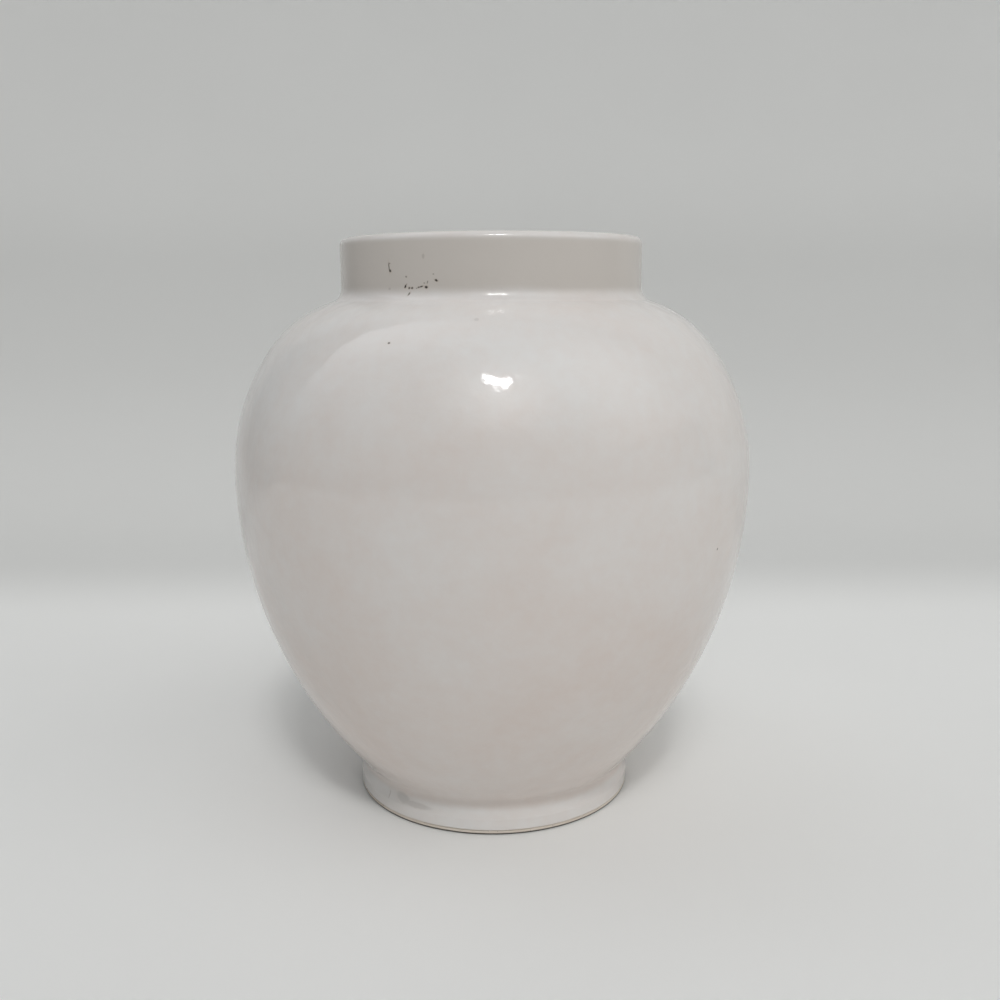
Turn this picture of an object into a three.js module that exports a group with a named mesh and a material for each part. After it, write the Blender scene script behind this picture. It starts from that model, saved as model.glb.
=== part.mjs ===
// A glazed ceramic vase: a full round belly on a low flared foot, with a short upright collar.
// Every piece is turned about the vertical axis. Millimetres, +Z up, origin at the middle of the foot
// on the table. Outside sizes are taken over the glaze.
import * as THREE from "three";

// Belly: one long arc below the widest ring, and two tighter arcs above it.
const bellyRadius = 93;
const bellyHeight = 121.4; // height of the widest ring above the table
const upperBellyRadius = 75.7; // radius of the arc that rises from the widest ring
const upperBellyDegrees = 34.5; // how far that arc turns before the shoulder takes over
const shoulderRadius = 44.2;
const bellyWall = 4.6; // fired clay, without glaze
const floorThickness = 7;
const floorFillet = 8;

// Collar: an upright ring with a full round lip, luted onto the top of the belly.
const collarRadius = 53.6;
const collarRise = 17.2; // from the top of the fillet at the shoulder to the top of the lip
const collarFillet = 4.8;
const collarWall = 3.6; // fired clay, without glaze

// Foot: a ring that flares out towards the table, luted under the belly.
const footRadius = 51.2;
const footFlare = 0.8; // how far the base stands out past the waist under the belly
const waistHeight = 10.4;
const coveRadius = 4; // hollow curve between the waist and the belly
const footWidth = 7.5; // width of the ring behind the glaze
const footBevel = 0.4; // broken edges of the standing face
const bareBand = 1.2; // upright clay left bare between the bevel and the glaze
const footLand = 4; // upright band of glaze below the flare
const bossDrop = 3.6; // how far the belly's round boss reaches down inside the foot ring

// Coatings and joints.
const glaze = 0.5;
const bond = 0.05; // clearance between a coat of glaze and the clay under it
const slip = 0.6; // liquid clay that fills each joint, and so the clearance between the pieces

// Fired colours and finishes.
const clayColour = 0xbcae9d;
const slipColour = 0xae9f8d;
const outerGlazeColour = 0xd9d3cd;
const linerGlazeColour = 0xd6d0c9;
const recessGlazeColour = 0xd2cbc3;
const clayRoughness = 0.85;
const glazeRoughness = 0.12;

// Facets round the axis and along each arc.
const roundSteps = 40;
const longArcSteps = 9;
const arcSteps = 4;
const smallArcSteps = 3;

// Sizes that follow from the ones above.
const upperBellyTurn = THREE.MathUtils.degToRad(upperBellyDegrees);
const waistRadius = footRadius - footFlare;
const coat = glaze + bond; // from a glaze face to the clay behind it
const clayInset = coat + bellyWall; // inner face of the clay, in from the outer glaze face
const linerInset = clayInset + coat; // inner face of the liner glaze
const bareTop = footBevel + bareBand;
const footTop = waistHeight - slip;
const recessTop = waistHeight - bossDrop;
const floorTop = recessTop + floorThickness;
const footInnerRadius = footRadius - coat - footWidth;
const bossRadius = footInnerRadius - slip;
const collarOuterClay = collarRadius - coat;
const collarInnerClay = collarOuterClay - collarWall;
const tongueWall = (collarWall - slip) / 2; // the collar's lower edge is halved into a tongue and a seat
const tongueRadius = collarInnerClay + tongueWall;
const openingRadius = tongueRadius + slip;
const lipRadius = collarWall / 2 + coat;
const lipMiddle = collarRadius - lipRadius;

// Centre of the cove, and the lower belly arc that is tangent to it and upright at the widest ring.
const coveCentre = new THREE.Vector2(waistRadius + coveRadius, waistHeight);
const coveReach = bellyRadius - coveCentre.x;
const coveDepth = bellyHeight - waistHeight;
const lowerBellyRadius =
  (coveReach ** 2 + coveDepth ** 2 - coveRadius ** 2) / (2 * (coveRadius + coveReach));
const lowerCentre = new THREE.Vector2(bellyRadius - lowerBellyRadius, bellyHeight);
const coveTurn = angleFrom(lowerCentre, coveCentre);

// Centres of the arcs above the widest ring, each tangent to the one below it.
const upperCentre = new THREE.Vector2(bellyRadius - upperBellyRadius, bellyHeight);
const shoulderCentre = new THREE.Vector2(
  upperCentre.x + (upperBellyRadius - shoulderRadius) * Math.cos(upperBellyTurn),
  upperCentre.y + (upperBellyRadius - shoulderRadius) * Math.sin(upperBellyTurn),
);
const filletReach = collarRadius + collarFillet - shoulderCentre.x;
const filletTop = shoulderCentre.y + legOf(shoulderRadius + collarFillet, filletReach);
const filletCentre = new THREE.Vector2(collarRadius + collarFillet, filletTop);
const shoulderTurn = angleFrom(shoulderCentre, filletCentre);
const collarFoot = filletTop + slip;
const lipTop = filletTop + collarRise;
const lipCentre = new THREE.Vector2(lipMiddle, lipTop - lipRadius);

// Hollow arc of the foot's flare, upright where it meets the waist.
const flareDrop = footTop - bareTop - footLand;
const flareRadius = (footFlare ** 2 + flareDrop ** 2) / (2 * footFlare);
const flareCentre = new THREE.Vector2(waistRadius + flareRadius, footTop);

// Fillet between the floor and the wall inside the belly.
const innerReach = lowerBellyRadius - clayInset - floorFillet;
const floorCentreHeight = floorTop + floorFillet;
const floorCentre = new THREE.Vector2(
  lowerCentre.x + legOf(innerReach, bellyHeight - floorCentreHeight),
  floorCentreHeight,
);
const floorTurn = angleFrom(lowerCentre, floorCentre);
const openingTurn = angleFrom(shoulderCentre, ceilingPoint(openingRadius, clayInset));

// The other leg of a right triangle.
function legOf(hypotenuse, leg) {
  return Math.sqrt(hypotenuse ** 2 - leg ** 2);
}

function angleFrom(centre, point) {
  return Math.atan2(point.y - centre.y, point.x - centre.x);
}

function at(radius, height) {
  return new THREE.Vector2(radius, height);
}

// Points of an arc about a centre, swept from one angle to the other, both ends included.
function arc(centre, radius, from, to, steps) {
  const curve = new THREE.EllipseCurve(centre.x, centre.y, radius, radius, from, to, to < from);
  return curve.getPoints(steps);
}

// Drops each point that repeats the one before it, as where two arcs meet.
function joined(...runs) {
  const same = 1e-6;
  return runs.flat().filter((p, i, all) => i === 0 || p.distanceTo(all[i - 1]) > same);
}

// Foot's outer face, upwards, at a depth below the glaze face.
function footFace(inset) {
  const radius = flareRadius + inset;
  const turn = Math.acos((flareRadius - footFlare + inset) / radius);
  return joined(
    [at(footRadius - inset, bareTop)],
    arc(flareCentre, radius, Math.PI + turn, Math.PI, smallArcSteps),
  );
}

// Belly's outer face from the waist to the collar, upwards: cove, belly, shoulder and fillet.
function bellyFace(inset) {
  return joined(
    arc(coveCentre, coveRadius + inset, Math.PI, Math.PI + coveTurn, smallArcSteps),
    arc(lowerCentre, lowerBellyRadius - inset, coveTurn, 0, longArcSteps),
    arc(upperCentre, upperBellyRadius - inset, 0, upperBellyTurn, arcSteps),
    arc(shoulderCentre, shoulderRadius - inset, upperBellyTurn, shoulderTurn, arcSteps),
    arc(filletCentre, collarFillet + inset, Math.PI + shoulderTurn, Math.PI, smallArcSteps),
  );
}

// Collar's outer face up to the crown of the lip.
function collarFace(inset) {
  return joined(
    [at(collarRadius - inset, collarFoot)],
    arc(lipCentre, lipRadius - inset, 0, Math.PI / 2, smallArcSteps),
  );
}

// A point under the shoulder, inside the belly, at a given distance from the axis.
function ceilingPoint(radius, inset) {
  return at(radius, shoulderCentre.y + legOf(shoulderRadius - inset, radius - shoulderCentre.x));
}

// Belly's inner face, upwards from the edge of the floor to the opening under the collar.
function bellyInside(inset) {
  const filletRadius = floorFillet + clayInset - inset;
  return joined(
    arc(floorCentre, filletRadius, -Math.PI / 2, floorTurn, smallArcSteps),
    arc(lowerCentre, lowerBellyRadius - inset, floorTurn, 0, longArcSteps),
    arc(upperCentre, upperBellyRadius - inset, 0, upperBellyTurn, arcSteps),
    arc(shoulderCentre, shoulderRadius - inset, upperBellyTurn, openingTurn, arcSteps),
  );
}

// Collar's inner half of the lip, upwards to its crown, at a depth below the liner's face.
function innerLip(depth) {
  return arc(lipCentre, lipRadius - depth, Math.PI, Math.PI / 2, smallArcSteps);
}

// The bare band stands flush with the glaze, whose hem rests on a narrow ledge above it.
function footRingProfile() {
  return joined(
    [at(footInnerRadius + footBevel, 0)],
    [at(footRadius - footBevel, 0)],
    [at(footRadius, footBevel)],
    [at(footRadius, bareTop - bond)],
    [at(footRadius - coat, bareTop - bond)],
    footFace(coat).slice(1),
    [at(footInnerRadius, footTop)],
    [at(footInnerRadius, footBevel)],
  );
}

// The joint's L section: flat on top of the foot ring, and upright round the belly's boss.
function footSlipProfile() {
  return [
    at(bossRadius, recessTop),
    at(footInnerRadius, recessTop),
    at(footInnerRadius, footTop),
    at(waistRadius - coat, footTop),
    at(waistRadius - coat, waistHeight),
    at(bossRadius, waistHeight),
  ];
}

function bellyProfile() {
  return joined(
    [at(0, recessTop)],
    [at(bossRadius, recessTop)],
    [at(bossRadius, waistHeight)],
    bellyFace(coat),
    [at(openingRadius, filletTop)],
    bellyInside(clayInset).reverse(),
    [at(0, floorTop)],
  );
}

// The joint's L section: flat under the collar's seat, and upright round its tongue.
function collarSlipProfile() {
  return [
    ceilingPoint(tongueRadius, clayInset),
    ceilingPoint(openingRadius, clayInset),
    at(openingRadius, filletTop),
    at(collarOuterClay, filletTop),
    at(collarOuterClay, collarFoot),
    at(tongueRadius, collarFoot),
  ];
}

function collarProfile() {
  return joined(
    [ceilingPoint(collarInnerClay, clayInset)],
    [ceilingPoint(tongueRadius, clayInset)],
    [at(tongueRadius, collarFoot)],
    collarFace(coat),
    innerLip(coat).reverse(),
  );
}

function outerFace(inset) {
  return joined(footFace(inset), bellyFace(inset), collarFace(inset));
}

// One coat from just above the table to the crown of the lip.
function outerGlazeProfile() {
  return joined(outerFace(0), outerFace(glaze).reverse());
}

// Face of the liner glaze, or its back at the depth of the coat, from the floor to the lip's crown.
function linerFace(depth) {
  const inset = linerInset - depth;
  const collarEdge = ceilingPoint(collarInnerClay - coat + depth, inset);
  return joined([at(0, floorTop + coat - depth)], bellyInside(inset), [collarEdge], innerLip(depth));
}

// One coat over the floor, the wall, the joint and the inside of the collar.
function linerGlazeProfile() {
  return joined(linerFace(glaze), linerFace(0).reverse());
}

// A shallow coat in the hollow under the vase, wiped clear of the standing face.
function recessGlazeProfile() {
  return [
    at(0, recessTop - coat),
    at(footInnerRadius - coat, recessTop - coat),
    at(footInnerRadius - coat, bareTop),
    at(footInnerRadius - bond, bareTop),
    at(footInnerRadius - bond, recessTop - bond),
    at(0, recessTop - bond),
  ];
}

// Turns a profile of radius and height about the Z axis. A profile off the axis closes on itself.
function turned(name, profile, material) {
  const onAxis = profile[0].x === 0;
  const outline = onAxis ? profile : [...profile, profile[0]];
  const geometry = new THREE.LatheGeometry(outline, roundSteps);
  geometry.rotateX(Math.PI / 2);
  const mesh = new THREE.Mesh(geometry, material);
  mesh.name = name;
  return mesh;
}

function firedMaterial(color, roughness) {
  return new THREE.MeshStandardMaterial({ color, roughness, metalness: 0 });
}

const vase = new THREE.Group();
vase.name = "vase";
vase.add(
  turned("foot_ring", footRingProfile(), firedMaterial(clayColour, clayRoughness)),
  turned("foot_slip", footSlipProfile(), firedMaterial(slipColour, clayRoughness)),
  turned("belly", bellyProfile(), firedMaterial(clayColour, clayRoughness)),
  turned("collar_slip", collarSlipProfile(), firedMaterial(slipColour, clayRoughness)),
  turned("neck_collar", collarProfile(), firedMaterial(clayColour, clayRoughness)),
  turned("outer_glaze", outerGlazeProfile(), firedMaterial(outerGlazeColour, glazeRoughness)),
  turned("liner_glaze", linerGlazeProfile(), firedMaterial(linerGlazeColour, glazeRoughness)),
  turned("recess_glaze", recessGlazeProfile(), firedMaterial(recessGlazeColour, glazeRoughness)),
);

export default vase;
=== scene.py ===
import math
from types import SimpleNamespace

import bpy
import numpy as np
from mathutils import Matrix, Vector


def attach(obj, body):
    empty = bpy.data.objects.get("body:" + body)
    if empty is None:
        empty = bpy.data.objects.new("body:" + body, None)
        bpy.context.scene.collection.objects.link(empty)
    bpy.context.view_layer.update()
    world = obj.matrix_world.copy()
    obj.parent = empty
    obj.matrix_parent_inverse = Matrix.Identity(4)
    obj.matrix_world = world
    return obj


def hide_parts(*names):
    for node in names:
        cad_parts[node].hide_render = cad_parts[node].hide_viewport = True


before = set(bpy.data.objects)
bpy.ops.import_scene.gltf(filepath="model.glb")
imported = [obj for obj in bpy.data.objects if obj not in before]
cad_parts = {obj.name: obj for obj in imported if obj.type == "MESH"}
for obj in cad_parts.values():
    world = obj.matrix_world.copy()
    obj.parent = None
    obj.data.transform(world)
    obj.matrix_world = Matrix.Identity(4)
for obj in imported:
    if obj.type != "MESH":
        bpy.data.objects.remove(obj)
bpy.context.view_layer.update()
mm = 0.001
print("frame loaded with", len(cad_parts), "solids")

# Camera close in, level with the collar and tipped a little down. Places in millimetres, turns in degrees.
cameraView = {
    "stand": (2.75, -388.3, 183.2),
    "tipDown": 10.94,
    "lean": -0.25,
    "lens": 38.08,
    "sensor": 36,
    "nearest": 10,
}


def makeCamera(view):
    lens = bpy.data.cameras.new("vaseCamera")
    lens.lens = view["lens"]
    lens.sensor_width = view["sensor"]
    lens.clip_start = view["nearest"] * mm
    camera = bpy.data.objects.new("vaseCamera", lens)
    tip = Matrix.Rotation(math.radians(90 - view["tipDown"]), 4, "X")
    lean = Matrix.Rotation(math.radians(view["lean"]), 4, "Z")
    camera.matrix_world = Matrix.Translation(Vector(view["stand"]) * mm) @ tip @ lean
    bpy.context.scene.collection.objects.link(camera)
    bpy.context.scene.camera = camera


makeCamera(cameraView)
print("camera set")

# Sizes of the turned form in millimetres, over the glaze, and the one turn that drives it in degrees.
vaseForm = {
    "bellyRadius": 93,
    "bellyHeight": 121.4,
    "upperBellyRadius": 75.7,
    "shoulderRadius": 44.2,
    "bellyWall": 4.6,
    "floorThickness": 7,
    "floorFillet": 8,
    "collarRadius": 53.6,
    "collarRise": 17.2,
    "collarFillet": 4.8,
    "collarWall": 3.6,
    "footRadius": 51.2,
    "footFlare": 0.8,
    "waistHeight": 10.4,
    "coveRadius": 4,
    "footWidth": 7.5,
    "footBevel": 0.4,
    "bareBand": 1.2,
    "footLand": 4,
    "bossDrop": 3.6,
    "glaze": 0.5,
    "bond": 0.05,
    "slip": 0.6,
}
upperBellyTurn = math.radians(34.5)

# How the meshes are laid out: points in an arc, steps round the axis, the fine step that a section is laid
# out in, and the longest step and sharpest bend that are left in it, in millimetres and degrees.
meshGrain = {"arcPoints": 80, "around": 208, "layStep": 0.05, "longStep": 2.4, "bendStep": 5.0}

# What the hand and the fire leave: out of round, a lip that isn't quite level, a wavering glaze hem. Sizes
# are millimetres. A wave is its share, its count round the axis and its phase, and a sway has its drift too.
handWork = {
    "outOfRound": 0.22,
    "steadyHeight": 25,
    "steadyRadius": 20,
    "driftHeight": 90,
    "swayWaves": [(0.55, 2, 0.7, 0.6), (0.3, 3, -1.1, 1.3), (0.15, 5, 2.0, -2.1)],
    "lipWave": 0.14,
    "lipReach": 12,
    "lipWaves": [(0.6, 2, 1.3), (0.4, 3, -0.4)],
    "hemReach": 0.9,
    "hemWaves": [(0.45, 3, 0.4), (0.3, 7, 1.9), (0.25, 12, -0.8)],
}

# Sections are complex numbers: distance from the axis plus i times the height.
form = SimpleNamespace(**{name: size * mm for name, size in vaseForm.items()})


def leg(hypotenuse, side):
    return math.sqrt(hypotenuse**2 - side**2)


def turnTo(centre, point):
    return float(np.angle(point - centre))


# Points of a circle about a centre, from one turn to the other.
def arc(centre, radius, start, stop):
    return centre + radius * np.exp(1j * np.linspace(start, stop, meshGrain["arcPoints"]))


def outline(*runs):
    return np.concatenate([np.atleast_1d(run) for run in runs])


# Depths in from the outer glaze face, and the levels of the foot and the floor.
coat = form.glaze + form.bond
clayInset = coat + form.bellyWall
linerInset = clayInset + coat
waistRadius = form.footRadius - form.footFlare
bareTop = form.footBevel + form.bareBand
footTop = form.waistHeight - form.slip
recessTop = form.waistHeight - form.bossDrop
floorTop = recessTop + form.floorThickness
footInner = form.footRadius - coat - form.footWidth
bossRadius = footInner - form.slip

# Collar: its clay, the tongue that reaches into the belly, and the full round lip.
collarOuter = form.collarRadius - coat
collarInner = collarOuter - form.collarWall
tongueRadius = collarInner + (form.collarWall - form.slip) / 2
openingRadius = tongueRadius + form.slip
lipRadius = form.collarWall / 2 + coat

# Centres of the arcs, each tangent to the next: cove, lower belly, upper belly, shoulder and fillet.
coveCentre = waistRadius + form.coveRadius + 1j * form.waistHeight
coveReach = form.bellyRadius - coveCentre.real
coveDepth = form.bellyHeight - form.waistHeight
lowerRadius = (coveReach**2 + coveDepth**2 - form.coveRadius**2) / (2 * (form.coveRadius + coveReach))
lowerCentre = form.bellyRadius - lowerRadius + 1j * form.bellyHeight
upperCentre = form.bellyRadius - form.upperBellyRadius + 1j * form.bellyHeight
shoulderCentre = upperCentre + (form.upperBellyRadius - form.shoulderRadius) * np.exp(1j * upperBellyTurn)
filletReach = form.collarRadius + form.collarFillet - shoulderCentre.real
filletTop = shoulderCentre.imag + leg(form.shoulderRadius + form.collarFillet, filletReach)
filletCentre = form.collarRadius + form.collarFillet + 1j * filletTop
collarFoot = filletTop + form.slip
lipTop = filletTop + form.collarRise
lipCentre = form.collarRadius - lipRadius + 1j * (lipTop - lipRadius)
coveTurn = turnTo(lowerCentre, coveCentre)
shoulderTurn = turnTo(shoulderCentre, filletCentre)

# Hollow flare of the foot, and the fillet round the floor inside.
flareDrop = footTop - bareTop - form.footLand
flareRadius = (form.footFlare**2 + flareDrop**2) / (2 * form.footFlare)
flareCentre = waistRadius + flareRadius + 1j * footTop
innerReach = lowerRadius - clayInset - form.floorFillet
floorRise = floorTop + form.floorFillet
floorCentre = lowerCentre.real + leg(innerReach, form.bellyHeight - floorRise) + 1j * floorRise
floorTurn = turnTo(lowerCentre, floorCentre)


# Point under the shoulder at a distance from the axis.
def ceiling(radius, inset):
    rise = leg(form.shoulderRadius - inset, radius - shoulderCentre.real)
    return radius + 1j * (shoulderCentre.imag + rise)


openingTurn = turnTo(shoulderCentre, ceiling(openingRadius, clayInset))


# Foot's outer face, upwards: an upright land, then a hollow arc that ends upright at the waist.
def footFace(inset):
    radius = flareRadius + inset
    turn = math.acos((flareRadius - form.footFlare + inset) / radius)
    return outline(form.footRadius - inset + 1j * bareTop, arc(flareCentre, radius, math.pi + turn, math.pi))


# Belly's outer face, upwards: cove, long lower arc, upper arc, shoulder arc and the fillet at the collar.
def bellyFace(inset):
    return outline(
        arc(coveCentre, form.coveRadius + inset, math.pi, math.pi + coveTurn),
        arc(lowerCentre, lowerRadius - inset, coveTurn, 0),
        arc(upperCentre, form.upperBellyRadius - inset, 0, upperBellyTurn),
        arc(shoulderCentre, form.shoulderRadius - inset, upperBellyTurn, shoulderTurn),
        arc(filletCentre, form.collarFillet + inset, math.pi + shoulderTurn, math.pi),
    )


# Collar's outer face, straight up and over a quarter round to the crown.
def collarFace(inset):
    return outline(
        form.collarRadius - inset + 1j * collarFoot,
        arc(lipCentre, lipRadius - inset, 0, math.pi / 2),
    )


# Belly's inner face, upwards: floor fillet, lower arc, upper arc and the ceiling as far as the opening.
def bellyInside(inset):
    return outline(
        arc(floorCentre, form.floorFillet + clayInset - inset, -math.pi / 2, floorTurn),
        arc(lowerCentre, lowerRadius - inset, floorTurn, 0),
        arc(upperCentre, form.upperBellyRadius - inset, 0, upperBellyTurn),
        arc(shoulderCentre, form.shoulderRadius - inset, upperBellyTurn, openingTurn),
    )


def innerLip(depth):
    return arc(lipCentre, lipRadius - depth, math.pi, math.pi / 2)


def outerFace(inset):
    return outline(footFace(inset), bellyFace(inset), collarFace(inset))


# Liner's face, from the middle of the floor to the crown of the lip, at a depth below its own surface.
def linerFace(depth):
    inset = linerInset - depth
    return outline(
        1j * (floorTop + coat - depth),
        bellyInside(inset),
        ceiling(collarInner - coat + depth, inset),
        innerLip(depth),
    )


# A section in even steps, eased by a bell curve of the given spread, then thinned so that steps crowd
# where it bends: a step ends after the longest run or the sharpest bend, in proportion.
def eased(points, closed, spread):
    lay = meshGrain["layStep"] * mm
    if closed:
        points = np.append(points, points[0])
    apart = np.abs(np.diff(points)) > 1e-9
    points = points[np.append(True, apart)]
    along = np.append(0, np.cumsum(np.abs(np.diff(points))))
    even = np.linspace(0, along[-1], int(along[-1] / lay) + 1)
    line = np.interp(even, along, points.real) + 1j * np.interp(even, along, points.imag)
    reach = int(4 * spread / lay)
    bell = np.exp(-0.5 * (np.arange(-reach, reach + 1) * lay / spread) ** 2)
    bell = bell / bell.sum()
    if closed:
        padded = np.concatenate([line[-reach - 1 : -1], line, line[1 : reach + 1]])
    else:
        before = 2 * line[0] - line[reach:0:-1]
        after = 2 * line[-1] - line[-2 : -reach - 2 : -1]
        padded = np.concatenate([before, line, after])
    line = np.convolve(padded, bell, "valid")
    step = np.diff(line)
    bend = np.abs(np.diff(np.unwrap(np.angle(step))))
    effort = np.abs(step) / (meshGrain["longStep"] * mm)
    effort[1:] += bend / math.radians(meshGrain["bendStep"])
    spent = np.append(0, np.cumsum(effort))
    stops = np.linspace(0, spent[-1], int(spent[-1]) + 2)
    thinned = np.interp(stops, spent, line.real) + 1j * np.interp(stops, spent, line.imag)
    return thinned[:-1] if closed else thinned


def rising(value, low, high):
    share = np.clip((value - low) / (high - low), 0, 1)
    return share * share * (3 - 2 * share)


# The hand's touch, one field for every layer so that they stay nested: the radius sways in waves round the
# axis that drift with height and die out at the foot and the axis, and the lip dips and rises.
def handTurned(angle, radius, height):
    drift = height / (handWork["driftHeight"] * mm)
    sway = sum(
        share * np.cos(count * angle + phase + climb * drift)
        for share, count, phase, climb in handWork["swayWaves"]
    )
    steady = 1 - np.exp(-((height / (handWork["steadyHeight"] * mm)) ** 2))
    steady = steady * radius / (radius + handWork["steadyRadius"] * mm)
    wave = sum(share * np.cos(count * angle + phase) for share, count, phase in handWork["lipWaves"])
    lifted = rising(height, lipTop - handWork["lipReach"] * mm, lipTop)
    return (
        radius + handWork["outOfRound"] * mm * sway * steady,
        height + handWork["lipWave"] * mm * wave * lifted,
    )


# Quads between each ring of points and the next, and from the last to the first where the section closes.
def ringQuads(rings, around, closed):
    ring = np.arange(around)
    after = np.roll(ring, -1)
    row = np.arange(rings if closed else rings - 1)[:, None]
    above = (row + 1) % rings
    quads = [row * around + ring, row * around + after, above * around + after, above * around + ring]
    return np.stack(quads, -1).reshape(-1, 4).tolist()


# A smooth mesh in one material, put in the scene at the origin.
def addMesh(name, points, faces, material):
    mesh = bpy.data.meshes.new(name)
    mesh.from_pydata(points.tolist(), [], faces)
    mesh.polygons.foreach_set("use_smooth", np.ones(len(faces), bool))
    mesh.materials.append(material)
    mesh.update()
    added = bpy.data.objects.new(name, mesh)
    bpy.context.scene.collection.objects.link(added)
    return added


# A section turned about the axis: x and y are the radius times the cosine and sine of the angle. A closed
# section gives a ring, and an open one starts and ends on the axis in a single point each. Its edges are
# eased by a spread, and a hem wavers, both in millimetres.
def turned(name, node, slot, section, closed, material, ease, waver=0.0):
    points = eased(section, closed, ease * mm)
    around = meshGrain["around"]
    angle = np.linspace(0, 2 * math.pi, around, endpoint=False)[None, :]
    rows = points if closed else points[1:-1]
    radius, height = handTurned(angle, rows.real[:, None] + 0 * angle, rows.imag[:, None] + 0 * angle)
    nearHem = np.exp(-(((height - bareTop) / (handWork["hemReach"] * mm)) ** 2))
    wave = sum(share * np.sin(count * angle + phase) for share, count, phase in handWork["hemWaves"])
    height = height + waver * mm * nearHem * wave
    grid = np.stack([radius * np.cos(angle), radius * np.sin(angle), height], -1).reshape(-1, 3)
    faces = ringQuads(len(rows), around, closed)
    if not closed:
        ring = np.arange(around)
        after = np.roll(ring, -1)
        first, last = len(grid), len(grid) + 1
        top = (len(rows) - 1) * around
        grid = np.vstack([grid, [[0, 0, points[0].imag], [0, 0, points[-1].imag]]])
        faces += np.stack([np.full(around, first), after, ring], -1).tolist()
        faces += np.stack([np.full(around, last), top + ring, top + after], -1).tolist()
    piece = addMesh(name, grid, faces, material)
    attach(piece, "root")
    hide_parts(node)
    print("turned", name, "with", len(grid), "points")


# A shader socket that takes part in sums: each sign adds one Math node.
class Wire:
    def __init__(self, finish, socket):
        self.finish = finish
        self.socket = socket

    def maths(self, operation, *values, clamp=False):
        settings = {"operation": operation, "use_clamp": clamp}
        return self.finish.node("ShaderNodeMath", settings, dict(enumerate(values)))[0]

    def __add__(self, other):
        return self.maths("ADD", self, other)

    def __sub__(self, other):
        return self.maths("SUBTRACT", self, other)

    def __rsub__(self, other):
        return self.maths("SUBTRACT", other, self)

    def __mul__(self, other):
        return self.maths("MULTIPLY", self, other)

    def __truediv__(self, other):
        return self.maths("DIVIDE", self, other)

    def __rtruediv__(self, other):
        return self.maths("DIVIDE", other, self)

    def __pow__(self, other):
        return self.maths("POWER", self, other)

    def __rpow__(self, other):
        return self.maths("POWER", other, self)

    __radd__ = __add__
    __rmul__ = __mul__

    def orMore(self, other):
        return self.maths("MAXIMUM", self, other)

    # angle of a direction, from its side and its forward part
    def turnFrom(self, forward):
        return self.maths("ARCTAN2", self, forward)

    def held(self):
        return self.maths("ADD", self, 0.0, clamp=True)

    # smooth step from 0 at one value to 1 at the other
    def between(self, low, high):
        sockets = {"Value": self, "From Min": low, "From Max": high, "To Min": 0.0, "To Max": 1.0}
        return self.finish.node("ShaderNodeMapRange", {"interpolation_type": "SMOOTHSTEP"}, sockets)[0]


# One material, or the sky, under construction.
class Finish:
    def __init__(self, owner, coordinate=3):  # 3 is the piece's own place, 0 the sky's direction
        owner.use_nodes = True
        self.owner = owner
        self.tree = owner.node_tree
        self.tree.nodes.clear()
        self.place = self.node("ShaderNodeTexCoord")[coordinate]

    def node(self, kind, settings=None, sockets=None):
        made = self.tree.nodes.new(kind)
        for key, value in (settings or {}).items():
            setattr(made, key, value)
        for key, value in (sockets or {}).items():
            if isinstance(value, Wire):
                self.tree.links.new(value.socket, made.inputs[key])
            else:
                made.inputs[key].default_value = value
        return [Wire(self, socket) for socket in made.outputs]

    # noise about zero; the size is that of one blotch in millimetres
    def noise(self, size, detail=2.0, roughness=0.5):
        sockets = {"Vector": self.place, "Scale": 1 / (size * mm), "Detail": detail, "Roughness": roughness}
        return self.node("ShaderNodeTexNoise", {}, sockets)[0] - 0.5

    # sockets 0, 6 and 7 are the share and the two colours
    def mix(self, share, first, second):
        settings = {"data_type": "RGBA", "clamp_factor": True}
        return self.node("ShaderNodeMix", settings, {0: share, 6: colour(first), 7: colour(second)})[2]

    # one shell over a bump whose height is in metres
    def close(self, shader, height):
        bump = self.node("ShaderNodeBump", {}, {"Height": height, "Distance": 1.0, "Strength": 1.0})[0]
        shell = self.node("ShaderNodeBsdfPrincipled", {}, {**shader, "Normal": bump})[0]
        self.node("ShaderNodeOutputMaterial", {}, {"Surface": shell})
        return self.owner


def colour(value):
    return value if isinstance(value, Wire) else (*value, 1.0)


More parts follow.
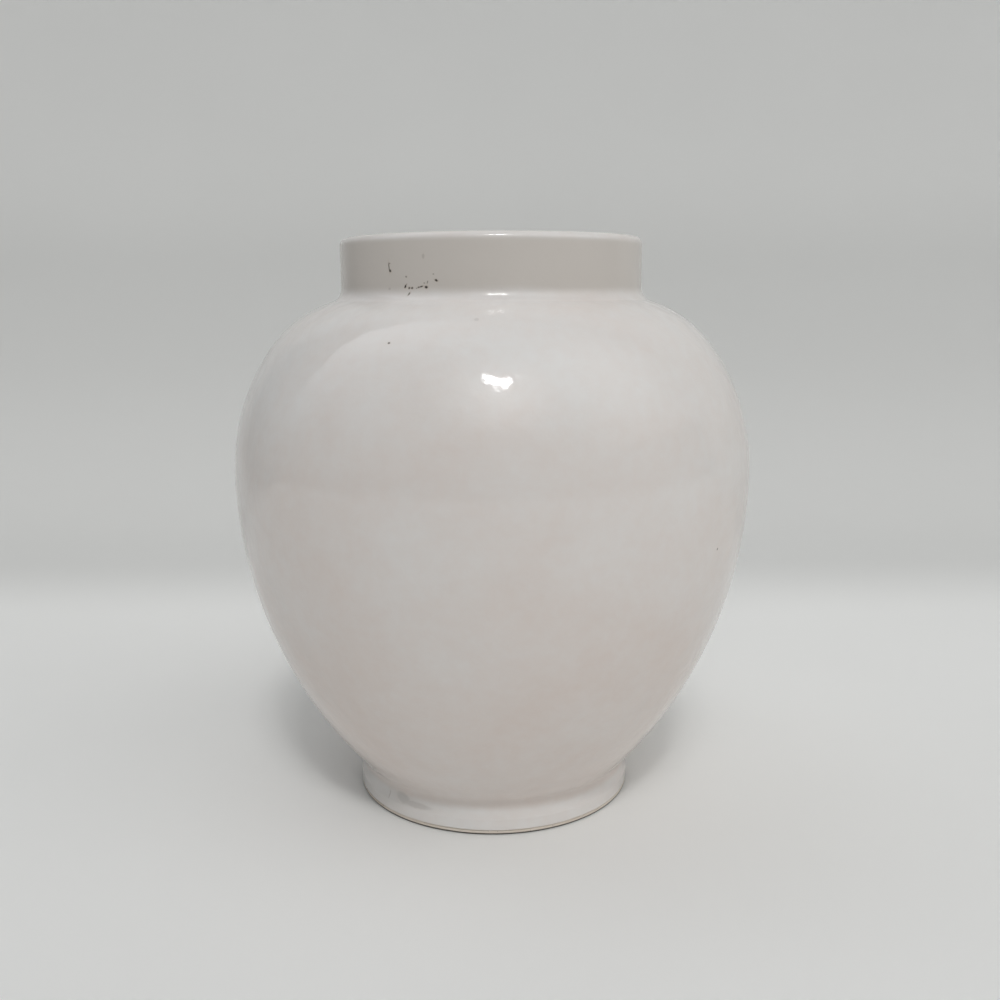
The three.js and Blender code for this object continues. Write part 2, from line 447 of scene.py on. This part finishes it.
# Flaws burnt into the outer glaze on the left of the collar, a few specks lower down and, low on the foot's
# left, dark patches that are mostly painted shadow of the belly and partly stain: degrees round from the
# front, then height, local radius, half length and half width in millimetres, tilt in degrees and strength.
glazeFlawsAndShade = [
    (-36.9, 193.4, 53.4, 0.26, 0.20, 0, 0.55),
    (-37.2, 192.2, 53.4, 1.15, 0.18, 96, 0.80),
    (-36.65, 191.1, 53.4, 0.40, 0.28, 130, 0.95),
    (-29.85, 189.15, 53.4, 0.25, 0.21, 0, 0.60),
    (-30.2, 186.1, 53.4, 0.44, 0.26, 75, 1.00),
    (-29.7, 186.75, 53.4, 0.30, 0.16, 60, 0.45),
    (-28.6, 185.65, 53.4, 0.33, 0.27, 0, 0.85),
    (-27.45, 185.65, 53.4, 0.33, 0.27, 30, 0.85),
    (-25.7, 185.5, 53.4, 0.22, 0.16, 0, 0.50),
    (-24.9, 185.85, 53.4, 0.30, 0.20, 10, 0.80),
    (-23.9, 186.1, 53.4, 0.50, 0.20, 15, 0.90),
    (-22.05, 185.9, 53.4, 0.42, 0.33, -20, 1.00),
    (-22.8, 187.15, 53.4, 0.24, 0.15, 0, 0.45),
    (-21.55, 187.4, 53.4, 0.40, 0.16, 75, 0.50),
    (-18.35, 187.95, 53.4, 0.42, 0.27, -20, 1.00),
    (-19.4, 189.9, 53.4, 0.20, 0.16, 0, 0.40),
    (-23.0, 195.4, 53.4, 0.60, 0.35, 90, 0.16),
    (-28.45, 183.8, 53.4, 0.45, 0.20, 55, 0.80),
    (-37.1, 185.5, 53.4, 0.38, 0.32, 0, 0.14),
    (-3.45, 176.2, 67.3, 0.60, 0.30, 0, 0.12),
    (-23.6, 169.4, 75.4, 0.30, 0.20, 0, 0.80),
    (52.4, 102.6, 91.7, 0.28, 0.24, 0, 0.80),
    # Dark patches low on the foot's left: mostly painted shadow of the belly, partly stain.
    (-58.0, 7.0, 51.0, 16.0, 3.5, 0, 0.07),
    (-39.5, 8.0, 51.0, 2.8, 1.5, -12, 0.19),
    (-33.0, 7.1, 51.0, 5.2, 0.8, 0, 0.18),
    (-47.5, 7.0, 51.0, 1.3, 0.25, 80, 0.23),
]

# Colours are linear; heights, blotch sizes and depths are millimetres. A pair of heights is where something
# starts and where it is full.
outerGlazeLook = {
    "pale": (0.865, 0.85, 0.835),
    "warm": (0.805, 0.715, 0.665),
    "warmBase": 0.25,
    "warmBelow": 0.5,
    "warmHeights": (175, 45),
    "warmEnds": (8, 11),
    # The collar colour is partly painted shade and partly thinner glaze.
    "collar": (0.72, 0.675, 0.63),
    "collarHeights": (filletTop / mm - 3, filletTop / mm + 1),
    "collarEnds": (lipTop / mm - 1.4, lipTop / mm - 3.2),
    "collarFray": 3,
    "thinGlazeAndShade": (0.60, 0.50, 0.39),
    "thinFray": 0.8,
    "thinRoughness": 0.18,
    "flawAndShade": (0.05, 0.04, 0.033),
    "flawRoughness": 0.4,
    "cloudSize": 34,
    "mottleSize": 4.5,
    "mottleShare": 0.5,
    "smudgeShare": 0.6,
    "roughness": 0.05,
    "roughSpread": 0.07,
    "leastRoughness": 0.03,
    "ior": 1.52,
    "peelSize": 1.9,
    "peelDepth": 0.034,
    "dimpleSize": 9,
    "dimpleDepth": 0.22,
    "waveSize": 26,
    "waveDepth": 0.25,
    # Painted shade in the waist under the belly, mixed in with the thin glaze's tan.
    "waistPaintedShade": 0.05,
    "waistHeights": (8.0, 10.0),
    "waistEnds": (15.0, 11.5),
    "flawDepth": 0.05,
    "flawFray": 0.35,
    "fraySizes": (0.7, 0.9),
    "spotEdge": (2.5, 0.5),
    "haloEdge": (7.0, 0.6),
    "haloShare": 0.4,
    "pinholeApart": 11,
    "pinholeSize": 0.22,
    "pinholeCore": 0.4,
    "pinholeShare": 0.03,
    "pinholeStrength": 0.3,
}


# Heaviest of the flaws and painted shadow patches at each point, and of the brown halos round them: each is
# an ellipse on the unrolled wall, frayed by fine noise, and its edge lies between two squared distances from
# its middle.
def flawAndShadeMasks(finish, high, turn, flawsAndShade, look):
    frayAlong, frayUp = [finish.noise(size) * look["flawFray"] for size in look["fraySizes"]]
    spots, halos = 0.0 * high, 0.0 * high
    for degrees, height, radius, half, width, tilt, strength in flawsAndShade:
        across = (turn - math.radians(degrees)) * radius + frayAlong
        up = high - height + frayUp
        cosTilt, sinTilt = math.cos(math.radians(tilt)), math.sin(math.radians(tilt))
        long = (across * cosTilt + up * sinTilt) / half
        wide = (up * cosTilt - across * sinTilt) / width
        away = long * long + wide * wide
        spots = spots.orMore(away.between(*look["spotEdge"]) * strength)
        halos = halos.orMore(away.between(*look["haloEdge"]) * strength)
    return spots, halos


# Few scattered pinholes: cells of a Voronoi pattern, of which a small share keeps its middle dot.
def pinholes(finish, look):
    sockets = {"Vector": finish.place, "Scale": 1 / (look["pinholeApart"] * mm)}
    cells = finish.node("ShaderNodeTexVoronoi", {}, sockets)
    reach = look["pinholeSize"] / look["pinholeApart"]
    draw = finish.node("ShaderNodeSeparateColor", {}, {"Color": cells[1]})[0]
    kept = draw.between(1 - look["pinholeShare"], 1 - look["pinholeShare"] / 2)
    return cells[0].between(reach, reach * look["pinholeCore"]) * kept * look["pinholeStrength"]


# Glassy glaze: cloudy and fine mottling, thinner and tan at its edges, orange peel and slow waves in it. The
# collar is darker, partly painted shade and partly thinner glaze, and the waist under the belly has painted
# shade.
def glazeFinish(name, look, thinEdges, flawsAndShade=()):
    finish = Finish(bpy.data.materials.new(name))
    x, y, z = finish.node("ShaderNodeSeparateXYZ", {}, {"Vector": finish.place})
    high = z / mm
    cloud = finish.noise(look["cloudSize"], 3.0)
    mottle = finish.noise(look["mottleSize"], 3.0, 0.6)
    low = high.between(*look["warmHeights"]) * high.between(*look["warmEnds"])
    blend = (cloud + mottle * look["mottleShare"] + look["warmBase"] + low * look["warmBelow"]).held()
    tone = finish.mix(blend, look["pale"], look["warm"])
    # Collar darker: partly painted shade, partly thinner glaze on the upright wall.
    upright = (high + cloud * look["collarFray"]).between(*look["collarHeights"])
    upright = upright * high.between(*look["collarEnds"])
    tone = finish.mix(upright, tone, look["collar"])
    # Painted shade in the waist goes in with the thin glaze's tan; the edges below really thin out.
    thinGlazeAndShade = high.between(*look["waistHeights"]) * high.between(*look["waistEnds"]) * look["waistPaintedShade"]
    for start, full, share in thinEdges:
        thinGlazeAndShade = thinGlazeAndShade.orMore((high + mottle * look["thinFray"]).between(start, full) * share)
    dark = pinholes(finish, look)
    if flawsAndShade:
        turn = x.turnFrom(0 - y)
        spots, halos = flawAndShadeMasks(finish, high, turn, flawsAndShade, look)
        dark = dark.orMore(spots)
        thinGlazeAndShade = thinGlazeAndShade.orMore(halos * look["haloShare"])
    tone = finish.mix(thinGlazeAndShade, tone, look["thinGlazeAndShade"])
    tone = finish.mix(dark, tone, look["flawAndShade"])
    smudge = finish.noise(look["cloudSize"] * look["smudgeShare"], 4.0, 0.6)
    roughness = look["roughness"] + smudge * look["roughSpread"]
    roughness = roughness + thinGlazeAndShade * look["thinRoughness"] + dark * look["flawRoughness"]
    roughness = roughness.orMore(look["leastRoughness"])
    peel = finish.noise(look["peelSize"], 2.0) * (look["peelDepth"] * mm)
    dimple = finish.noise(look["dimpleSize"], 1.0) * (look["dimpleDepth"] * mm)
    wave = finish.noise(look["waveSize"], 1.0) * (look["waveDepth"] * mm)
    height = peel + dimple + wave - dark * (look["flawDepth"] * mm)
    return finish.close({"Base Color": tone, "Roughness": roughness, "IOR": look["ior"]}, height)


# Heights between which the coat thins out, and how far it does so: at its hem and over the crown of the lip.
hemEdge = (bareTop / mm + 0.6, bareTop / mm - 0.1, 0.5)
crownEdge = (lipTop / mm - 0.9, lipTop / mm + 0.6, 0.2)
outerGlaze = glazeFinish("outerGlaze", outerGlazeLook, [hemEdge, crownEdge], glazeFlawsAndShade)

# Inside, the coat is a little darker, and its clouds are smaller.
linerGlazeLook = {
    **outerGlazeLook,
    "pale": (0.78, 0.745, 0.71),
    "warm": (0.73, 0.68, 0.64),
    "cloudSize": 26,
    "waistPaintedShade": 0.0,
}
linerGlaze = glazeFinish("linerGlaze", linerGlazeLook, [crownEdge])

# Under the foot it was brushed on thinly, and the clay shows through.
recessGlazeLook = {
    **outerGlazeLook,
    "pale": (0.74, 0.69, 0.64),
    "warm": (0.63, 0.56, 0.48),
    "cloudSize": 14,
    "mottleShare": 1.2,
    "roughness": 0.16,
    "waveSize": 9,
    "waveDepth": 0.08,
    "waistPaintedShade": 0.0,
}
recessGlaze = glazeFinish("recessGlaze", recessGlazeLook, [hemEdge])
print("glazes mixed")

# Fired clay: buff, toasted in clouds, with dark grog, and darkened along the edge that stands on the table,
# partly by soil and partly by painted contact shadow.
bareClayLook = {
    "buff": (0.80, 0.74, 0.66),
    "toasted": (0.70, 0.62, 0.53),
    "grog": (0.24, 0.19, 0.15),
    "soilAndContactShade": (0.03, 0.026, 0.022),
    "cloudSize": 11,
    "cloudShare": 1.8,
    "grainSize": 0.45,
    "grainShare": 0.5,
    "grainDepth": 0.05,
    "grogSize": 1.1,
    "grogEdge": (0.17, 0.26),
    "grogShare": 0.6,
    "grogDepth": 0.03,
    "soilHeights": (0.85, 0.48),
    "soilFray": 0.3,
    "soilEdge": (vaseForm["footRadius"] - 1.4, vaseForm["footRadius"] - 0.8),
    "soilOutside": 0.9,
    "soilInside": 0.2,
    "roughness": 0.86,
    "roughSpread": 0.2,
    "ior": 1.45,
}


# Clay in cloudy tones with grain and grog, darkened low down by soil and painted contact shadow, most of all
# at the foot's outer edge.
def clayFinish(name, look):
    finish = Finish(bpy.data.materials.new(name))
    x, y, z = finish.node("ShaderNodeSeparateXYZ", {}, {"Vector": finish.place})
    outward = (x * x + y * y) ** 0.5 / mm
    cloud = finish.noise(look["cloudSize"], 3.0)
    grain = finish.noise(look["grainSize"], 3.0, 0.65)
    speck = finish.noise(look["grogSize"], 1.0).between(*look["grogEdge"])
    blend = (cloud * look["cloudShare"] + grain * look["grainShare"] + 0.5).held()
    tone = finish.mix(blend, look["buff"], look["toasted"])
    tone = finish.mix(speck * look["grogShare"], tone, look["grog"])
    # Near-black line along the outer standing edge: painted contact shadow, partly soil.
    edge = outward.between(*look["soilEdge"]) * (look["soilOutside"] - look["soilInside"])
    soiledAndShaded = (z / mm + cloud * look["soilFray"]).between(*look["soilHeights"]) * (look["soilInside"] + edge)
    tone = finish.mix(soiledAndShaded, tone, look["soilAndContactShade"])
    roughness = (look["roughness"] + grain * look["roughSpread"]).held()
    height = grain * (look["grainDepth"] * mm) - speck * (look["grogDepth"] * mm)
    return finish.close({"Base Color": tone, "Roughness": roughness, "IOR": look["ior"]}, height)


bareClay = clayFinish("bareClay", bareClayLook)

# Slip is the same clay washed fine, so its grain is finer and its grog hardly shows.
jointSlipLook = {
    **bareClayLook,
    "buff": (0.52, 0.45, 0.37),
    "toasted": (0.44, 0.37, 0.30),
    "grog": (0.38, 0.31, 0.25),
    "grainSize": 0.25,
    "grainDepth": 0.02,
}
jointSlip = clayFinish("jointSlip", jointSlipLook)
print("clays mixed")

# Foot: a ring with broken edges and a bare band that stands nearly flush with the glaze above it, with the
# band's depth and the slope at its top in millimetres.
footRingEdges = {"ease": 0.15}
footBand = {"inset": 0.1, "topSlope": 0.35}
bandRadius = form.footRadius - footBand["inset"] * mm
footRingSection = outline(
    footInner + form.footBevel,
    bandRadius - form.footBevel,
    bandRadius + 1j * form.footBevel,
    bandRadius + 1j * (bareTop - footBand["topSlope"] * mm),
    form.footRadius - coat + 1j * (bareTop - form.bond),
    footFace(coat)[1:],
    footInner + 1j * footTop,
    footInner + 1j * form.footBevel,
)
turned("footRingClay", "foot_ring", "bare_clay", footRingSection, True, bareClay, **footRingEdges)

# Luting of the foot, an L in section.
footSlipEdges = {"ease": 0.06}
footSlipSection = outline(
    bossRadius + 1j * recessTop,
    footInner + 1j * recessTop,
    footInner + 1j * footTop,
    waistRadius - coat + 1j * footTop,
    waistRadius - coat + 1j * form.waistHeight,
    bossRadius + 1j * form.waistHeight,
)
turned("footJointSlip", "foot_slip", "joint_slip", footSlipSection, True, jointSlip, **footSlipEdges)

# Belly: boss and outer face upwards, then the inner face back down to the floor.
bellyEdges = {"ease": 0.12}
bellySection = outline(
    1j * recessTop,
    bossRadius + 1j * recessTop,
    bossRadius + 1j * form.waistHeight,
    bellyFace(coat),
    openingRadius + 1j * filletTop,
    bellyInside(clayInset)[::-1],
    1j * floorTop,
)
turned("bellyClay", "belly", "bare_clay", bellySection, False, bareClay, **bellyEdges)

# Luting of the collar, an L in section round its tongue.
collarSlipEdges = {"ease": 0.06}
collarSlipSection = outline(
    ceiling(tongueRadius, clayInset),
    ceiling(openingRadius, clayInset),
    openingRadius + 1j * filletTop,
    collarOuter + 1j * filletTop,
    collarOuter + 1j * collarFoot,
    tongueRadius + 1j * collarFoot,
)
turned("collarJointSlip", "collar_slip", "joint_slip", collarSlipSection, True, jointSlip, **collarSlipEdges)

# Collar: tongue, outer face, round lip and inner face.
collarEdges = {"ease": 0.12}
collarSection = outline(
    ceiling(collarInner, clayInset),
    ceiling(tongueRadius, clayInset),
    tongueRadius + 1j * collarFoot,
    collarFace(coat),
    innerLip(coat)[::-1],
)
turned("neckCollarClay", "neck_collar", "bare_clay", collarSection, True, bareClay, **collarEdges)

# Outer glaze: its face up to the crown, then its back down again.
outerEdges = {"ease": 0.16, "waver": 0.12}
outerSection = outline(outerFace(0), outerFace(form.glaze)[::-1])
turned("outerGlazeCoat", "outer_glaze", "outer_glaze", outerSection, True, outerGlaze, **outerEdges)

# Liner glaze: its back up to the crown, then its face down to the floor.
linerEdges = {"ease": 0.16}
linerSection = outline(linerFace(form.glaze), linerFace(0)[::-1])
turned("linerGlazeCoat", "liner_glaze", "liner_glaze", linerSection, False, linerGlaze, **linerEdges)

# Recess glaze: a shallow upturned dish inside the foot ring.
recessEdges = {"ease": 0.12, "waver": 0.15}
recessSection = outline(
    1j * (recessTop - coat),
    footInner - coat + 1j * (recessTop - coat),
    footInner - coat + 1j * bareTop,
    footInner - form.bond + 1j * bareTop,
    footInner - form.bond + 1j * (recessTop - form.bond),
    1j * (recessTop - form.bond),
)
turned("recessGlazeCoat", "recess_glaze", "recess_glaze", recessSection, False, recessGlaze, **recessEdges)
print("vase turned")

# Pale table that sweeps up into a wall well behind the vase, with painted shade low on the wall and on its
# left.
# Metres, with the cloth's grain in millimetres.
tableSweep = {
    "halfWidth": 2.4,
    "front": -2.6,
    "fold": 0.62,
    "foldRadius": 0.22,
    "foldSteps": 24,
    "wallTop": 1.7,
    "pale": (0.88, 0.885, 0.875),
    "shaded": (0.84, 0.845, 0.835),
    "paintedFoldShade": (0.70, 0.705, 0.695),
    "fallsOff": (0.20, 0.34),
    "fallenBelow": (0.32, 0.10),
    "paintedLeftShade": (0.28, 0.285, 0.28),
    "dimsLeft": (-0.48, -0.92),
    "cloudSize": 160,
    "weaveSize": 0.8,
    "weaveShare": 0.2,
    "weaveDepth": 0.02,
    "roughness": 0.9,
}


# Straight floor, quarter round and straight wall, carried across from side to side.
def makeTable(sweep):
    turn = np.linspace(-math.pi / 2, 0, sweep["foldSteps"])
    depth = sweep["fold"] - sweep["foldRadius"] + sweep["foldRadius"] * np.cos(turn)
    rise = sweep["foldRadius"] + sweep["foldRadius"] * np.sin(turn)
    depth = np.concatenate([[sweep["front"]], depth, [sweep["fold"]]])
    rise = np.concatenate([[0], rise, [sweep["wallTop"]]])
    across = np.array([-sweep["halfWidth"], sweep["halfWidth"]])
    wide, deep = np.meshgrid(across, depth)
    high = np.repeat(rise[:, None], 2, 1)
    grid = np.stack([wide, deep, high], -1).reshape(-1, 3)
    row = np.arange(len(depth) - 1) * 2
    faces = np.stack([row, row + 1, row + 3, row + 2], -1)
    finish = Finish(bpy.data.materials.new("paleCloth"))
    weave = finish.noise(sweep["weaveSize"])
    blend = (finish.noise(sweep["cloudSize"]) + 0.5 + weave * sweep["weaveShare"]).held()
    tone = finish.mix(blend, sweep["pale"], sweep["shaded"])
    x, y, z = finish.node("ShaderNodeSeparateXYZ", {}, {"Vector": finish.place})
    # Painted shade low on the wall round the fold, fading out higher up.
    upright = y.between(*sweep["fallsOff"])
    tone = finish.mix(upright * z.between(*sweep["fallenBelow"]), tone, sweep["paintedFoldShade"])
    # Painted shade: the wall darker towards the left.
    tone = finish.mix(upright * x.between(*sweep["dimsLeft"]), tone, sweep["paintedLeftShade"])
    height = weave * (sweep["weaveDepth"] * mm)
    cloth = finish.close({"Base Color": tone, "Roughness": sweep["roughness"]}, height)
    table = addMesh("paleTable", grid, faces.tolist(), cloth)


makeTable(tableSweep)

# Low grey rim far round the table, so that every side has a plain ground. Metres, grain in millimetres.
rimSweep = {
    "reach": 1.6,
    "height": 0.76,
    "around": 96,
    "steps": 16,
    "pale": (0.38, 0.385, 0.38),
    "shaded": (0.20, 0.205, 0.20),
    "brightens": (-1.2, 0.6),
    "cloudSize": 160,
    "cloudShare": 0.2,
    "weaveSize": 0.8,
    "weaveDepth": 0.02,
    "roughness": 0.9,
}


# A quarter round turned about the axis.
def makeRim(sweep):
    angle = np.linspace(0, 2 * math.pi, sweep["around"], endpoint=False)
    lift = np.linspace(0, math.pi / 2, sweep["steps"])[:, None]
    radius = sweep["reach"] + sweep["height"] * np.sin(lift)
    rise = sweep["height"] * (1 - np.cos(lift)) + 0 * angle
    grid = np.stack([radius * np.cos(angle), radius * np.sin(angle), rise], -1).reshape(-1, 3)
    faces = ringQuads(sweep["steps"], sweep["around"], False)
    finish = Finish(bpy.data.materials.new("greyCloth"))
    x = finish.node("ShaderNodeSeparateXYZ", {}, {"Vector": finish.place})[0]
    blend = x.between(*sweep["brightens"]) + finish.noise(sweep["cloudSize"]) * sweep["cloudShare"]
    tone = finish.mix(blend, sweep["shaded"], sweep["pale"])
    weave = finish.noise(sweep["weaveSize"]) * (sweep["weaveDepth"] * mm)
    cloth = finish.close({"Base Color": tone, "Roughness": sweep["roughness"]}, weave)
    rim = addMesh("greyRim", grid, faces, cloth)


makeRim(rimSweep)
print("table laid")

# Soft studio light, a sky of smooth lobes. Each faces an azimuth from the front (right is positive) and a
# height angle in degrees; a greater sharpness makes it narrower. Three narrow lamps in front give the gleam
# and the shadow.
skyLobes = {
    "lampMiddle": {"toward": (5.5, 53), "sharpness": 1800, "strength": 104, "tint": (1.0, 0.995, 0.98)},
    "lampLeft": {"toward": (-2, 55.5), "sharpness": 2600, "strength": 66, "tint": (1.0, 0.995, 0.98)},
    "lampRight": {"toward": (12, 55), "sharpness": 2600, "strength": 66, "tint": (1.0, 0.995, 0.98)},
    "frontGlow": {"toward": (6, 48), "sharpness": 25, "strength": 2.27, "tint": (1.0, 1.0, 1.0)},
    "topGlow": {"toward": (0, 84), "sharpness": 6, "strength": 0.36, "tint": (1.0, 1.0, 1.0)},
    "rightGlow": {"toward": (66, 47), "sharpness": 12, "strength": 0.97, "tint": (1.0, 1.0, 0.99)},
    "backGlow": {"toward": (-120, 52), "sharpness": 8, "strength": 1.1, "tint": (0.97, 1.0, 1.04)},
    "lowRightGlow": {"toward": (85, 12), "sharpness": 5, "strength": 0.46, "tint": (1.0, 1.0, 0.99)},
    "upperSpark": {"toward": (-88, 13.6), "sharpness": 60000, "strength": 260, "tint": (1.0, 1.0, 1.0)},
    "lowerSpark": {"toward": (-88.5, 11.4), "sharpness": 60000, "strength": 110, "tint": (1.0, 1.0, 1.0)},
}


def heading(azimuth, rise):
    side, up = math.radians(azimuth), math.radians(rise)
    return math.sin(side) * math.cos(up), -math.cos(side) * math.cos(up), math.sin(up)


# Brightness of a lobe is its strength times the cosine off its middle, raised to its sharpness.
def makeSky(lobes):
    sky = Finish(bpy.data.worlds.new("softRoom"), 0)
    glow = (0.0, 0.0, 0.0)
    for lobe in lobes.values():
        sockets = {0: sky.place, 1: heading(*lobe["toward"])}
        facing = sky.node("ShaderNodeVectorMath", {"operation": "DOT_PRODUCT"}, sockets)[1].orMore(0.0)
        share = facing ** lobe["sharpness"] * lobe["strength"]
        sockets = {0: lobe["tint"], "Scale": share}
        tinted = sky.node("ShaderNodeVectorMath", {"operation": "SCALE"}, sockets)[0]
        glow = sky.node("ShaderNodeVectorMath", {"operation": "ADD"}, {0: glow, 1: tinted})[0]
    shade = sky.node("ShaderNodeBackground", {}, {"Color": glow})[0]
    sky.node("ShaderNodeOutputWorld", {}, {"Surface": shade})
    bpy.context.scene.world = sky.owner


makeSky(skyLobes)
bpy.context.scene.view_settings.view_transform = "Standard"
print("studio lit")
